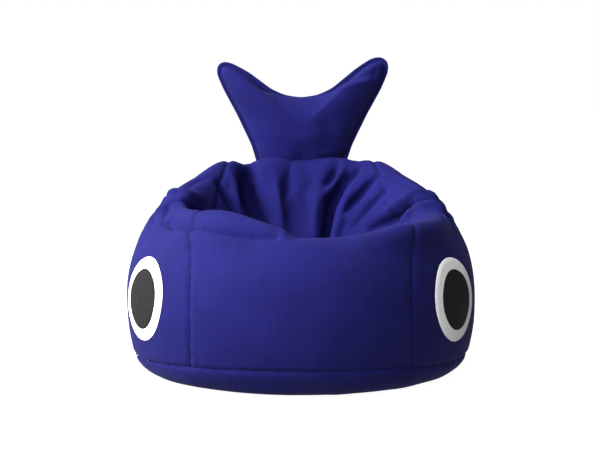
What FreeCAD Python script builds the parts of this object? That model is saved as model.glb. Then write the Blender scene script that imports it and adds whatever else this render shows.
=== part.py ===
"""Bean bag chair in the shape of a whale: a stuffed bag with a sat-in hollow, two eyes and a tail.

The bag stands on the floor, +Z up, and its front faces -Y. The origin is on the floor, at the
middle of the footprint. Left is -X. All sizes are millimetres and live in the spreadsheet.
"""

import FreeCAD, Part
import Sketcher
import math
import os

from FreeCAD import Placement, Rotation, Vector

doc = FreeCAD.newDocument("bean_bag_chair")


# ---------------------------------------------------------------- driving dimensions
SIZES = {
    # the filled bag
    "bag_width": 850,
    "bag_depth": 870,
    "front_height": 351,
    "side_height": 392,
    "back_height": 494,
    "seat_floor_height": 185,
    "tail_dip": 44,
    "tail_dip_angle": 26,
    # cloth and filling, from the outside in
    "cover_thickness": 1.8,
    "liner_clearance": 0.7,
    "liner_thickness": 1.0,
    "fill_clearance": 0.7,
    "seam_gap": 0.8,
    # where the cover's panels are sewn together, as angles from straight ahead
    "base_seam_front": 78,
    "base_seam_side": 45,
    "front_seam_angle": 58,
    "side_seam_angle": 96,
    "rear_seam_angle": 146,
    # corners of the seat panel, as shares of the bag's half width and half depth
    "seat_front_share": 0.70,
    "seat_side_share": 0.57,
    "seat_rear_share": 0.77,
    "seat_front_middle_share": 0.62,
    # eyes
    "eye_angle": 61.5,
    "eye_height": 200,
    "white_size": 194,
    "pupil_size": 140,
    "patch_thickness": 1.0,
    "sewn_clearance": 0.1,
    # tail
    "tail_root_width": 238,
    "tail_root_sag": 34,
    "tail_span": 368,
    "tail_tip_height": 213,
    "tail_tip_radius": 27,
    "tail_notch_height": 146,
    "tail_notch_radius": 165,
    "tail_thickness": 124,
    "tail_lean": 4,
    "tail_clearance": 2.0,
    "flange_width": 10,
    "flange_thickness": 3,
    "band_width": 10,
    "band_thickness": 2.0,
    # zip across the underside
    "zip_length": 480,
    "zip_slot_width": 18,
    "zip_slot_margin": 4,
    "zip_trench_margin": 12,
    "tape_width": 14,
    "tape_thickness": 0.7,
    "coil_width": 2.6,
    "coil_height": 2.1,
    "coil_gap": 2.6,
    "coil_bottom": 1.2,
    "stop_length": 4,
    "stop_overlap": 0.2,
    "slider_length": 12,
    "slider_width": 11,
    "slider_wing": 0.7,
    "slider_play": 0.2,
    "slider_post_width": 1.8,
    "guard_thickness": 0.8,
    "guard_overhang": 5,
}

sheet = doc.addObject("Spreadsheet::Sheet", "sizes")
for line, (alias, value) in enumerate(SIZES.items(), start=1):
    sheet.set(f"A{line}", alias)
    sheet.set(f"B{line}", str(value))
    sheet.setAlias(f"B{line}", alias)
doc.recompute()


def size(alias):
    """A driving dimension, as the spreadsheet holds it."""
    return float(sheet.get(alias))


# ---------------------------------------------------------------- document helpers
parts = []


def bind(thing, **expressions):
    """Ties properties of a document object to cells of the spreadsheet."""
    for name, text in expressions.items():
        thing.setExpression(name.replace("__", "."), text)
    return thing


def feature(name, shape):
    """A Part::Feature that holds a shape made with Part's own functions."""
    made = doc.addObject("Part::Feature", name)
    made.Shape = shape
    return made


def cut(name, base, tool):
    made = doc.addObject("Part::Cut", name)
    made.Base = base
    made.Tool = tool
    return made


def common(name, base, tool):
    made = doc.addObject("Part::Common", name)
    made.Base = base
    made.Tool = tool
    return made


def box(name, length, width, height, **at):
    """A Part::Box whose sides and corner are expressions over the spreadsheet."""
    made = doc.addObject("Part::Box", name)
    bind(made, Length=length, Width=width, Height=height)
    for axis, text in at.items():
        made.setExpression("Placement.Base." + axis, text)
    return made


def finished(thing, label=None):
    """Marks a document object as a sub-part that is written to its own file."""
    thing.Label = label or thing.Name
    parts.append(thing)
    return thing


# ---------------------------------------------------------------- the bag's skin
# The filled bag is one smooth closed form. Every layer of it, from the cover's outside to the
# beans, is the same net of control points moved along the net's own normals.
COLUMNS = 36
# how far cutting blocks reach beyond the bag, sideways and under the floor
FAR = 900
UNDER_FLOOR = 20


def bag_height(angle):
    """Height of the bag's crest at an angle from straight ahead."""
    share = (1 - math.cos(angle)) / 2
    rise = share * share * (3 - 2 * share)
    front, side, back = size("front_height"), size("side_height"), size("back_height")
    height = front + (back - front) * rise
    height += (side - (front + back) / 2) * math.sin(angle) ** 4
    from_back = abs(math.pi - angle % (2 * math.pi))
    reach = math.radians(size("tail_dip_angle"))
    if from_back < reach:
        height -= size("tail_dip") * math.cos(math.pi / 2 * from_back / reach) ** 2
    return height


def profile(angle):
    """The bag's outline from the foot, up the wall, over the crest and down to the seat's floor.

    Each point is a share of the half width and half depth, and a height.
    """
    crest, floor = bag_height(angle), size("seat_floor_height")
    hollow = crest - floor
    return [
        # the foot, which lies flat on the floor
        (0.640, 0),
        (0.805, 0),
        (0.940, 13),
        # the wall, widest at about half its height
        (0.988, 85),
        (1.010, 0.50 * crest),
        (0.965, 0.78 * crest),
        # over the crest
        (0.860, 0.950 * crest),
        (0.755, 1.020 * crest),
        (0.645, 0.980 * crest),
        # down the hollow's side to the seat's floor
        (0.575, floor + 0.55 * hollow),
        (0.460, floor + 0.10 * hollow),
        (0.300, floor),
        (0.140, floor),
    ]


def plan_point(angle, share, z=0):
    """A point at an angle from straight ahead, at a share of the bag's half width and depth."""
    x = share * size("bag_width") / 2 * math.sin(angle)
    y = -share * size("bag_depth") / 2 * math.cos(angle)
    return Vector(x, y, z)


def skin_net():
    """Control points of the skin, and the way out of the bag at each of them."""
    # a cubic through round columns draws in by this much
    drawn_in = (2 + math.cos(2 * math.pi / COLUMNS)) / 3
    angles = [2 * math.pi * k / COLUMNS for k in range(COLUMNS)]
    net = [[plan_point(a, share / drawn_in, z) for share, z in profile(a)] for a in angles]
    rows = len(net[0])
    outward = []
    for k, column in enumerate(net):
        line = []
        for j in range(rows):
            if j < 2:
                line.append(Vector(0, 0, -1))
                continue
            if j >= rows - 2:
                line.append(Vector(0, 0, 1))
                continue
            along = column[j + 1] - column[j - 1]
            around = net[(k + 1) % COLUMNS][j] - net[k - 1][j]
            line.append(around.cross(along).normalize())
        outward.append(line)
    return net, outward


NET, OUTWARD = skin_net()


def skin(depth):
    """The bag as a solid, taken in by depth on every side."""
    poles = [
        [point - way * depth for point, way in zip(column, ways)]
        for column, ways in zip(NET, OUTWARD)
    ]
    rows = len(poles[0])
    wall = Part.BSplineSurface()
    wall.buildFromPolesMultsKnots(
        poles,
        [1] * (COLUMNS + 1),
        [4] + [1] * (rows - 4) + [4],
        list(range(COLUMNS + 1)),
        list(range(rows - 2)),
        True,
        False,
        3,
        3,
    )
    side = wall.toShape()
    rings = [edge for edge in side.Edges if edge.isClosed() and edge.BoundBox.ZLength < 1e-6]
    shell = Part.Shell([side, *[Part.Face(Part.Wire([ring])) for ring in rings]])
    shell.sewShape()
    return Part.Solid(shell)


def layer(name, outer, inner):
    """A closed skin of cloth between two depths."""
    out = feature(name + "_outside", skin(outer))
    into = feature(name + "_inside", skin(inner))
    return cut(name, out, into)


# ---------------------------------------------------------------- seams of the cover
def seat_corner(angle_name, share_name, side):
    return plan_point(side * math.radians(size(angle_name)), size(share_name))


CORNERS = {
    (name, side): seat_corner(name + "_seam_angle", "seat_" + name + "_share", side)
    for name in ("front", "side", "rear")
    for side in (-1, 1)
}
BACK_MIDDLE = plan_point(math.pi, size("seat_rear_share"))
FRONT_MIDDLE = plan_point(0, size("seat_front_middle_share"))


def region(name, edges):
    """An upright block over an outline in plan, drawn in by half a seam all round."""
    outline = Part.Wire(Part.__sortEdges__(edges))
    inner = outline.makeOffset2D(-size("seam_gap") / 2)
    return feature(name, Part.Face(inner).extrude(Vector(0, 0, FAR)))


def line(a, b):
    return Part.LineSegment(a, b).toShape()


def outside(name, side):
    """The point far out of the bag on the seam that leaves this corner of the seat panel."""
    corner = CORNERS[name, side]
    if name == "front":
        # the two front seams run down the wall side by side
        return Vector(corner.x, -FAR, 0)
    return corner * (FAR / corner.Length)


def wall_region(name, start, end, through=None):
    """The block that holds the wall panel between two seams."""
    a, b = CORNERS[start], CORNERS[end]
    far_a, far_b = outside(*start), outside(*end)
    inner = Part.Arc(a, through, b).toShape() if through else line(a, b)
    # the far side is taken well out, so that a wide panel's outline clears the bag
    middle = (far_a + far_b).normalize() * (2 * FAR)
    edges = [inner, line(b, far_b), line(far_b, middle), line(middle, far_a), line(far_a, a)]
    return region(name, edges)


def seat_region():
    rear = Part.Arc(CORNERS["rear", -1], BACK_MIDDLE, CORNERS["rear", 1]).toShape()
    front = Part.Arc(CORNERS["front", -1], FRONT_MIDDLE, CORNERS["front", 1]).toShape()
    sides = [
        line(CORNERS[a, side], CORNERS[b, side])
        for a, b in (("front", "side"), ("side", "rear"))
        for side in (-1, 1)
    ]
    return region("seat_region", [rear, front, *sides])


# The seam between the walls and the base runs level at the back and sides and rises in front.
# Each pair is a share of the half depth, forwards, and a share of the rise.
BASE_SEAM_RISE = ((1.2, 1.10), (0.98, 1.0), (0.76, 0.67), (0.45, 0.12), (0.1, 0), (-1.2, 0))


def below_base_seam(name, drop):
    """The block under the seam between the walls and the base, moved down by drop."""
    half_depth = size("bag_depth") / 2
    front, side = size("base_seam_front") - drop, size("base_seam_side") - drop
    points = [
        Vector(0, -half_depth * share, side + (front - side) * rise)
        for share, rise in BASE_SEAM_RISE
    ]
    seam = Part.BSplineCurve()
    seam.interpolate(points)
    start, end = points[0], points[-1]
    low_start, low_end = Vector(0, start.y, -UNDER_FLOOR), Vector(0, end.y, -UNDER_FLOOR)
    edges = [seam.toShape(), line(end, low_end), line(low_end, low_start), line(low_start, start)]
    block = Part.Face(Part.Wire(edges)).extrude(Vector(2 * FAR, 0, 0))
    block.translate(Vector(-FAR, 0, 0))
    return feature(name, block)


cover = layer("cover", 0, size("cover_thickness"))
half_seam = size("seam_gap") / 2
cover_top = cut("cover_top", cover, below_base_seam("under_walls", -half_seam))
cover_base = common("cover_base", cover, below_base_seam("base_block", half_seam))

WALLS = {
    "front_panel": (("front", -1), ("front", 1), FRONT_MIDDLE),
    "left_eye_panel": (("side", -1), ("front", -1), None),
    "right_eye_panel": (("front", 1), ("side", 1), None),
    "rear_left_panel": (("rear", -1), ("side", -1), None),
    "rear_right_panel": (("side", 1), ("rear", 1), None),
    "back_panel": (("rear", 1), ("rear", -1), BACK_MIDDLE),
}
for name, (start, end, through) in WALLS.items():
    finished(common(name, cover_top, wall_region(name + "_region", start, end, through)))
finished(common("seat_panel", cover_top, seat_region()))

# The base is cut in two halves that meet at the zip, and it turns up to the seam above the floor.
zip_slot = box(
    "zip_slot",
    "sizes.zip_length + 2 * sizes.zip_slot_margin",
    "sizes.zip_slot_width",
    "4 * sizes.cover_thickness",
    x="-sizes.zip_length / 2 - sizes.zip_slot_margin",
    y="-sizes.zip_slot_width / 2",
    z="-sizes.cover_thickness",
)
BASE_HALVES = {
    "base_front_panel": "-sizes.bag_depth",
    "base_rear_panel": "sizes.seam_gap / 2",
}
for name, start in BASE_HALVES.items():
    half = box(
        name + "_half",
        "2 * sizes.bag_width",
        "sizes.bag_depth - sizes.seam_gap / 2",
        "sizes.bag_depth",
        x="-sizes.bag_width",
        y=start,
        z=f"-{UNDER_FLOOR}",
    )
    finished(cut(name, common(name + "_whole", cover_base, half), zip_slot))


# ---------------------------------------------------------------- liner and beans
def trench(name, margin, height):
    """Room over the zip, cut out of the liner and the beans."""
    return box(
        name,
        f"sizes.zip_length + 2 * ({margin})",
        f"sizes.zip_slot_width + 2 * ({margin})",
        f"{height} + {UNDER_FLOOR}",
        x=f"-sizes.zip_length / 2 - ({margin})",
        y=f"-sizes.zip_slot_width / 2 - ({margin})",
        z=f"-{UNDER_FLOOR}",
    )


# the strip that guards the zip lies this high, twice the slider's play over its upper wing
GUARD_BOTTOM = (
    "sizes.coil_bottom + sizes.coil_height + 5 * sizes.slider_play + sizes.slider_wing"
)
MARGIN = "sizes.zip_trench_margin"
TRENCH = f"{GUARD_BOTTOM} + 3 * sizes.guard_thickness"
LINING = " + sizes.liner_thickness"
LINED = LINING + " + sizes.fill_clearance"
liner_depth = size("cover_thickness") + size("liner_clearance")
fill_depth = liner_depth + size("liner_thickness") + size("fill_clearance")

liner_outer = cut(
    "liner_outer",
    feature("liner_outside", skin(liner_depth)),
    trench("liner_trench", MARGIN, TRENCH),
)
liner_inner = cut(
    "liner_inner",
    feature("liner_inside", skin(liner_depth + size("liner_thickness"))),
    trench("liner_lining", MARGIN + LINING, TRENCH + LINING),
)
liner = cut("liner", liner_outer, liner_inner)
finished(cut("liner_top", liner, doc.getObject("under_walls")))
finished(common("liner_base", liner, doc.getObject("base_block")))

finished(
    cut(
        "bean_fill",
        feature("beans", skin(fill_depth)),
        trench("bean_trench", MARGIN + LINED, TRENCH + LINED),
    )
)


# ---------------------------------------------------------------- eyes
# the cutting blocks start at this share of the bag's width from its middle, inside the eye panel
EYE_BLOCK_START = 0.4


def eye_patch(name, side, cloth, across):
    """A round piece cut from a layer of cloth that lies on the eye panel."""
    angle = side * math.radians(size("eye_angle"))
    way_out = Vector(math.sin(angle), -math.cos(angle), 0)
    round_block = doc.addObject("Part::Cylinder", name + "_block")
    bind(round_block, Radius=f"sizes.{across} / 2", Height="sizes.bag_width / 2")
    round_block.Placement = Placement(
        way_out * (size("bag_width") * EYE_BLOCK_START) + Vector(0, 0, size("eye_height")),
        Rotation(Vector(0, 0, 1), way_out),
    )
    return finished(common(name, cloth, round_block))


under = size("sewn_clearance")
white_top = under + size("patch_thickness")
pupil_under = white_top + under
white_cloth = layer("white_cloth", -white_top, -under)
pupil_cloth = layer("pupil_cloth", -pupil_under - size("patch_thickness"), -pupil_under)
for hand, side in (("left", -1), ("right", 1)):
    eye_patch(hand + "_eye_white", side, white_cloth, "white_size")
    eye_patch(hand + "_eye_pupil", side, pupil_cloth, "pupil_size")


# ---------------------------------------------------------------- tail
# The tail is a flat pillow in its own upright plane. Its root hangs in the dip of the crest, and
# the seam there bends like a hinge.
def touch_from_point(point, centre, radius, turn):
    """Where a straight line from a point touches a circle."""
    away = point - centre
    angle = math.atan2(away.z, away.x) + turn * math.acos(radius / away.Length)
    return centre + Vector(math.cos(angle), 0, math.sin(angle)) * radius


def touch_across(centre_a, radius_a, centre_b, radius_b, turn):
    """Where a straight line that crosses between two circles touches each of them."""
    away = centre_b - centre_a
    swing = math.acos((radius_a + radius_b) / away.Length)
    angle = math.atan2(away.z, away.x) + turn * swing
    way = Vector(math.cos(angle), 0, math.sin(angle))
    return centre_a + way * radius_a, centre_b - way * radius_b


def mirrored(point):
    return Vector(-point.x, point.y, point.z)


def tail_outline():
    """The tail's outline, with the middle of its root's ends at the origin of its plane."""
    root = Vector(size("tail_root_width") / 2, 0, 0)
    sag = Vector(0, 0, -size("tail_root_sag"))
    tip = Vector(size("tail_span") / 2, 0, size("tail_tip_height"))
    tip_radius, notch_radius = size("tail_tip_radius"), size("tail_notch_radius")
    notch = Vector(0, 0, size("tail_notch_height") + notch_radius)
    low = touch_from_point(root, tip, tip_radius, 1)
    high, dip = touch_across(tip, tip_radius, notch, notch_radius, -1)
    outer = tip + (low + high - tip * 2).normalize() * tip_radius
    if (outer - tip).dot(tip) < 0:
        outer = tip * 2 - outer
    bottom = Vector(0, 0, size("tail_notch_height"))
    return Part.Wire(
        [
            Part.Arc(mirrored(root), sag, root).toShape(),
            line(root, low),
            Part.Arc(low, outer, high).toShape(),
            line(high, dip),
            Part.Arc(dip, bottom, mirrored(dip)).toShape(),
            line(mirrored(dip), mirrored(high)),
            Part.Arc(mirrored(high), mirrored(outer), mirrored(low)).toShape(),
            line(mirrored(low), mirrored(root)),
        ]
    )


# the pillow is lofted through copies of the outline drawn together by these shares
PILLOW_SHARES = (1.0, 0.97, 0.90, 0.78, 0.60, 0.38)


def pillow_half(inset, side):
    """One half of the tail's pillow, which thins towards its outline, taken in by inset."""
    heart = Vector(0, 0, size("tail_notch_height") / 2)
    flat = size("flange_thickness") / 2
    half = size("tail_thickness") / 2 - flat - inset
    narrow = 1 - inset / (size("tail_root_width") / 2)
    wires = []
    for share in PILLOW_SHARES:
        wire = tail_outline()
        wire.scale(share * narrow, heart)
        wire.translate(Vector(0, side * (flat + half * math.sqrt(1 - share**2)), 0))
        wires.append(wire)
    return Part.makeLoft(wires, True, False)


def tail_slab(wire):
    """The slice of the tail between its two cloth panels."""
    slab = Part.Face(wire).extrude(Vector(0, size("flange_thickness"), 0))
    slab.translate(Vector(0, -size("flange_thickness") / 2, 0))
    return slab


def tail_panel(side):
    return pillow_half(0, side).cut(pillow_half(size("cover_thickness"), side))


def tail_flange():
    """The flat seam that stands out round the tail, open along the root."""
    outer = tail_outline().makeOffset2D(size("flange_width"))
    ring = tail_slab(outer).cut(tail_slab(tail_outline()))
    reach = size("tail_span") + 4 * size("flange_width")
    below = Part.makeBox(reach, reach, reach, Vector(-reach / 2, -reach / 2, -reach))
    return ring.cut(below)


def tail_filling():
    inner = tail_outline()
    heart = Vector(0, 0, size("tail_notch_height") / 2)
    gap = size("cover_thickness") + size("fill_clearance")
    inner.scale(1 - gap / (size("tail_root_width") / 2), heart)
    halves = [pillow_half(gap, side) for side in (-1, 1)]
    return tail_slab(inner).fuse(halves).removeSplitter()


TAIL_PIECES = {
    "tail_front_panel": tail_panel(-1),
    "tail_rear_panel": tail_panel(1),
    "tail_flange": tail_flange(),
    "tail_filling": tail_filling(),
}
crest_y = plan_point(math.pi, size("seat_rear_share")).y
tail_root_height = size("back_height") + size("band_thickness") + size("tail_clearance")
tail_place = Placement(
    Vector(0, crest_y, tail_root_height),
    Rotation(Vector(1, 0, 0), -size("tail_lean")),
)
for name, shape in TAIL_PIECES.items():
    finished(feature(name, shape)).Placement = tail_place

# The band is sewn over the crest, along the seam that the tail hangs in.
band_block = box(
    "band_block",
    "sizes.tail_root_width",
    "sizes.band_width",
    "sizes.back_height",
    x="-sizes.tail_root_width / 2",
    z="sizes.back_height - 2 * sizes.tail_dip",
)
band_block.setExpression(
    "Placement.Base.y", "sizes.seat_rear_share * sizes.bag_depth / 2 - sizes.band_width / 2"
)
band_cloth = layer("band_cloth", -under - size("band_thickness"), -under)
finished(common("tail_root_band", band_cloth, band_block))


# ---------------------------------------------------------------- zip
# It lies in a slot across the base: tapes sewn inside the base panels, a coil on each tape's edge,
# a slider that runs between two end stops, and a strip that guards the liner from it.
TAPE_BOTTOM = "sizes.cover_thickness + sizes.sewn_clearance"
COIL_START = "sizes.coil_gap / 2"
TAPE_START = "sizes.coil_gap / 2 + sizes.coil_width + sizes.sewn_clearance"
COIL_LENGTH = "sizes.zip_length - 4 * sizes.stop_length"
COIL_ROUNDING = 0.4

for half, side in (("front", -1), ("rear", 1)):
    y = TAPE_START if side > 0 else f"-({TAPE_START}) - sizes.tape_width"
    tape = box(
        f"zip_tape_{half}",
        "sizes.zip_length",
        "sizes.tape_width",
        "sizes.tape_thickness",
        x="-sizes.zip_length / 2",
        y=y,
        z=TAPE_BOTTOM,
    )
    finished(tape)
    y = COIL_START if side > 0 else f"-({COIL_START}) - sizes.coil_width"
    block = box(
        f"zip_coil_{half}_block",
        COIL_LENGTH,
        "sizes.coil_width",
        "sizes.coil_height",
        x=f"-({COIL_LENGTH}) / 2",
        y=y,
        z="sizes.coil_bottom",
    )
    doc.recompute()
    coil = doc.addObject("Part::Fillet", f"zip_coil_{half}")
    coil.Base = block
    radius = size("coil_height") * COIL_ROUNDING
    along = size("zip_length") / 2
    long_edges = [k for k, edge in enumerate(block.Shape.Edges, start=1) if edge.Length > along]
    coil.Edges = [(k, radius, radius) for k in long_edges]
    finished(coil)

STOP_START = {
    "open": f"-({COIL_LENGTH}) / 2 - sizes.stop_length - sizes.sewn_clearance",
    "closed": f"({COIL_LENGTH}) / 2 + sizes.sewn_clearance",
}
end_stops = doc.addObject("Part::Compound", "zip_end_stops")
end_stops.Links = [
    box(
        f"zip_stop_{end}",
        "sizes.stop_length",
        "sizes.coil_gap + 2 * sizes.coil_width",
        "sizes.coil_height + 2 * sizes.stop_overlap",
        x=x,
        y="-sizes.coil_gap / 2 - sizes.coil_width",
        z="sizes.coil_bottom - sizes.stop_overlap",
    )
    for end, x in STOP_START.items()
]
finished(end_stops)

finished(
    box(
        "zip_guard",
        "sizes.zip_length + 2 * sizes.guard_overhang",
        "2 * (sizes.tape_width + sizes.coil_width)",
        "sizes.guard_thickness",
        x="-sizes.zip_length / 2 - sizes.guard_overhang",
        y="-sizes.tape_width - sizes.coil_width",
        z=GUARD_BOTTOM,
    )
)


# ---------------------------------------------------------------- zip slider
# A lower and an upper wing with lips that reach for the tape, joined by a post that passes
# between the coils. It is drawn at the closed end, against its stop.
def sketch_on(body, role, name, offset):
    plane = [f for f in body.Origin.OriginFeatures if f.Role == role][0]
    sketch = body.newObject("Sketcher::SketchObject", name)
    sketch.AttachmentSupport = [(plane, "")]
    sketch.MapMode = "FlatFace"
    sketch.setExpression("AttachmentOffset.Base.z", offset)
    return sketch


# a rectangle is first drawn this large, and then its constraints size it
ROUGH = 5


def rectangle(sketch, width, height, centre_x="0", centre_y="0"):
    """A rectangle in a sketch, whose sides and middle are bound to the spreadsheet."""
    corners = ((-1, -1), (1, -1), (1, 1), (-1, 1))
    points = [Vector(ROUGH * x, ROUGH * y, 0) for x, y in corners]
    first = sketch.GeometryCount
    for k in range(4):
        sketch.addGeometry(Part.LineSegment(points[k], points[(k + 1) % 4]))
    for k in range(4):
        follow = (k + 1) % 4
        sketch.addConstraint(Sketcher.Constraint("Coincident", first + k, 2, first + follow, 1))
    for k, way in enumerate(("Horizontal", "Vertical", "Horizontal", "Vertical")):
        sketch.addConstraint(Sketcher.Constraint(way, first + k))
    sides = (("DistanceX", 0, width), ("DistanceY", 1, height))
    for kind, edge, text in sides:
        on = first + edge
        sketch.addConstraint(Sketcher.Constraint(kind, on, 1, on, 2, 2.0 * ROUGH))
        sketch.setExpression(f"Constraints[{sketch.ConstraintCount - 1}]", text)
    corner = (("DistanceX", centre_x, width), ("DistanceY", centre_y, height))
    for kind, centre, side in corner:
        sketch.addConstraint(Sketcher.Constraint(kind, -1, 1, first, 1, -1.0 * ROUGH))
        text = f"({centre}) - ({side}) / 2"
        sketch.setExpression(f"Constraints[{sketch.ConstraintCount - 1}]", text)


def pad(body, name, sketch, length):
    made = body.newObject("PartDesign::Pad", name)
    made.Profile = sketch
    made.setExpression("Length", length)
    return made


slider = doc.addObject("PartDesign::Body", "zip_slider")
PLAY, WING = "sizes.slider_play", "sizes.slider_wing"
LOW_WING = f"sizes.coil_bottom - {PLAY} - {WING}"
HIGH_WING = f"sizes.coil_bottom + sizes.coil_height + {PLAY}"
LIP_WIDTH = f"(sizes.slider_width - sizes.coil_gap) / 2 - sizes.coil_width - {PLAY}"
LIP_MIDDLE = f"sizes.slider_width / 2 - ({LIP_WIDTH}) / 2"

low = sketch_on(slider, "XY_Plane", "low_wing_outline", LOW_WING)
rectangle(low, "sizes.slider_length", "sizes.slider_width")
pad(slider, "low_wing", low, WING)
post = sketch_on(slider, "XY_Plane", "post_outline", f"{LOW_WING} + {WING} / 2")
rectangle(post, "sizes.slider_length / 3", "sizes.slider_post_width", "sizes.slider_length / 4")
pad(slider, "post", post, f"({HIGH_WING}) - ({LOW_WING})")
high = sketch_on(slider, "XY_Plane", "high_wing_outline", HIGH_WING)
rectangle(high, "sizes.slider_length", "sizes.slider_width")
pad(slider, "high_wing", high, WING)
# each lip starts inside its wing and ends the slider's play short of the tape
LIPS = {
    "low": (
        f"{LOW_WING} + {WING} / 2",
        f"({TAPE_BOTTOM}) - {PLAY} - ({LOW_WING}) - {WING} / 2",
    ),
    "high": (
        f"{TAPE_BOTTOM} + sizes.tape_thickness + {PLAY}",
        f"({HIGH_WING}) + {WING} / 2 - ({TAPE_BOTTOM}) - sizes.tape_thickness - {PLAY}",
    ),
}
for wing, (level, rise) in LIPS.items():
    for half, side in (("front", -1), ("rear", 1)):
        lip = sketch_on(slider, "XY_Plane", f"{wing}_{half}_lip_outline", level)
        rectangle(lip, "sizes.slider_length", LIP_WIDTH, "0", f"{side} * ({LIP_MIDDLE})")
        pad(slider, f"{wing}_{half}_lip", lip, rise)
bind(slider, Placement__Base__x=f"({COIL_LENGTH}) / 2 - sizes.slider_length / 2")
finished(slider)


# ---------------------------------------------------------------- check and write
doc.recompute()
for thing in doc.Objects:
    for fault in ("Invalid", "Error"):
        if fault in thing.State:
            raise RuntimeError(f"{thing.Name} is {fault}")

os.makedirs("parts", exist_ok=True)
for thing in parts:
    shape = thing.Shape
    if shape.isNull() or not shape.isValid() or not shape.Solids:
        raise RuntimeError(f"{thing.Label} has no valid solid")
    shape.exportStep(f"parts/{thing.Label}.step")
    b = shape.BoundBox
    print(
        f"{thing.Label}: {len(shape.Solids)} solid(s), {shape.Volume / 1000:.1f} cm3, "
        f"x {b.XMin:.1f} {b.XMax:.1f} y {b.YMin:.1f} {b.YMax:.1f} z {b.ZMin:.1f} {b.ZMax:.1f}"
    )
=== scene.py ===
import math

import bmesh
import bpy
import numpy as np
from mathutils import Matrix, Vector, noise
from mathutils.bvhtree import BVHTree


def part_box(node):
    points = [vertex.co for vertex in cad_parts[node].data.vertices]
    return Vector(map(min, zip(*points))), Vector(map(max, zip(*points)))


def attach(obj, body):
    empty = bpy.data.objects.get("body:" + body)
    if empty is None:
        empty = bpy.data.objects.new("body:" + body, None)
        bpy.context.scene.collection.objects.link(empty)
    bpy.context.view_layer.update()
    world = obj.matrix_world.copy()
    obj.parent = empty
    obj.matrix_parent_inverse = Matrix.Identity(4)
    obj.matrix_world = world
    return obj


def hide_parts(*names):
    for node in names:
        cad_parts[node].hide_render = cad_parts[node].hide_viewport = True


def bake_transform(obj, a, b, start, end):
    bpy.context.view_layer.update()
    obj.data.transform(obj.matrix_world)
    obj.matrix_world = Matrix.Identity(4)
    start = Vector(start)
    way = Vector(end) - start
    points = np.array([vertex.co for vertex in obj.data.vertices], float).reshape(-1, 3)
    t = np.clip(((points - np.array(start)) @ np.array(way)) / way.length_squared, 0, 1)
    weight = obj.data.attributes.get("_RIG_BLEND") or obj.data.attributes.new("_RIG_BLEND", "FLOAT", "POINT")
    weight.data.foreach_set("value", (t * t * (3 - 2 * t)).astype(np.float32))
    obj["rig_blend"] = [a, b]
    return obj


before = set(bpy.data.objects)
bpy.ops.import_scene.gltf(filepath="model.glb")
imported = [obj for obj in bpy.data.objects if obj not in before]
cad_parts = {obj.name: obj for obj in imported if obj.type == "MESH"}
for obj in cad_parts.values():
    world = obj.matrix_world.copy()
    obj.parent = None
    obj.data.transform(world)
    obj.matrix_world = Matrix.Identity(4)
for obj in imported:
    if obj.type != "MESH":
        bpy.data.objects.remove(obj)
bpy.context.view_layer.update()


# ---------------------------------------------------------------- stand-in studio
# A pale sheet under and behind the bag, a long lens a little above the bag's middle, and large
# soft lamps: four on the left at different heights, one in front and one overhead.
CAMERA_DISTANCE = 4.2
CAMERA_RISE = math.radians(6.0)
CAMERA_LENS = 103.2
LOOK_AT = Vector((0.0, 0.0, 0.352))
FRAME_SHIFT = -1 / 600


def linear(code):
    """An sRGB hex colour as linear RGBA."""
    parts = [int(code[k : k + 2], 16) / 255 for k in (1, 3, 5)]
    return tuple(((c + 0.055) / 1.055) ** 2.4 if c > 0.04045 else c / 12.92 for c in parts) + (1.0,)


def node(tree, kind, settings=None, **links):
    """Adds a shader node, sets its properties, and links or sets its inputs by name."""
    made = tree.nodes.new(kind)
    for name, value in (settings or {}).items():
        setattr(made, name, value)
    for name, value in links.items():
        key = int(name[1:]) if name[0] == "_" else name.replace("_", " ")
        if isinstance(value, bpy.types.NodeSocket):
            tree.links.new(value, made.inputs[key])
        else:
            made.inputs[key].default_value = value
    return made


def weighted(tree, socket, weight, rest=0.0):
    """A node that gives one socket times its weight, plus the rest."""
    return node(tree, "ShaderNodeMath", {"operation": "MULTIPLY_ADD"}, _0=socket, _1=weight, _2=rest)


def blank_material(name):
    """A material whose tree holds only its output."""
    material = bpy.data.materials.new(name)
    material.use_nodes = True
    material.node_tree.nodes.clear()
    return material, material.node_tree


def dress(thing, material, smooth=True):
    """Gives a mesh object one material."""
    thing.data.materials.clear()
    thing.data.materials.append(material)
    for face in thing.data.polygons:
        face.material_index = 0
        face.use_smooth = smooth


def from_bmesh(name, bm):
    """A new object at the origin that takes its mesh from a bmesh."""
    mesh = bpy.data.meshes.new(name)
    bm.to_mesh(mesh)
    bm.free()
    thing = bpy.data.objects.new(name, mesh)
    bpy.context.scene.collection.objects.link(thing)
    return thing


def look_from(thing, place, target):
    """Turns a lamp or the camera so that it looks at a point."""
    thing.location = place
    thing.rotation_euler = (Vector(target) - Vector(place)).to_track_quat("-Z", "Y").to_euler()
    bpy.context.scene.collection.objects.link(thing)


camera = bpy.data.objects.new("camera", bpy.data.cameras.new("camera"))
camera.data.lens = CAMERA_LENS
camera.data.shift_x = FRAME_SHIFT
back_off = Vector((0, -math.cos(CAMERA_RISE), math.sin(CAMERA_RISE))) * CAMERA_DISTANCE
look_from(camera, LOOK_AT + back_off, LOOK_AT)
bpy.context.scene.camera = camera
bpy.context.scene.view_settings.view_transform = "Standard"

floor_mesh = bmesh.new()
bmesh.ops.create_grid(floor_mesh, x_segments=1, y_segments=1, size=30)
floor = from_bmesh("floor", floor_mesh)
paper, tree = blank_material("lit white matte paper")
surface = node(
    tree,
    "ShaderNodeBsdfPrincipled",
    Base_Color=linear("#6E6E6E"),
    Roughness=0.9,
    Emission_Color=linear("#FFFFFF"),
    Emission_Strength=0.96,
)
node(tree, "ShaderNodeOutputMaterial", Surface=surface.outputs[0])
dress(floor, paper)
floor.visible_diffuse = False

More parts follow.
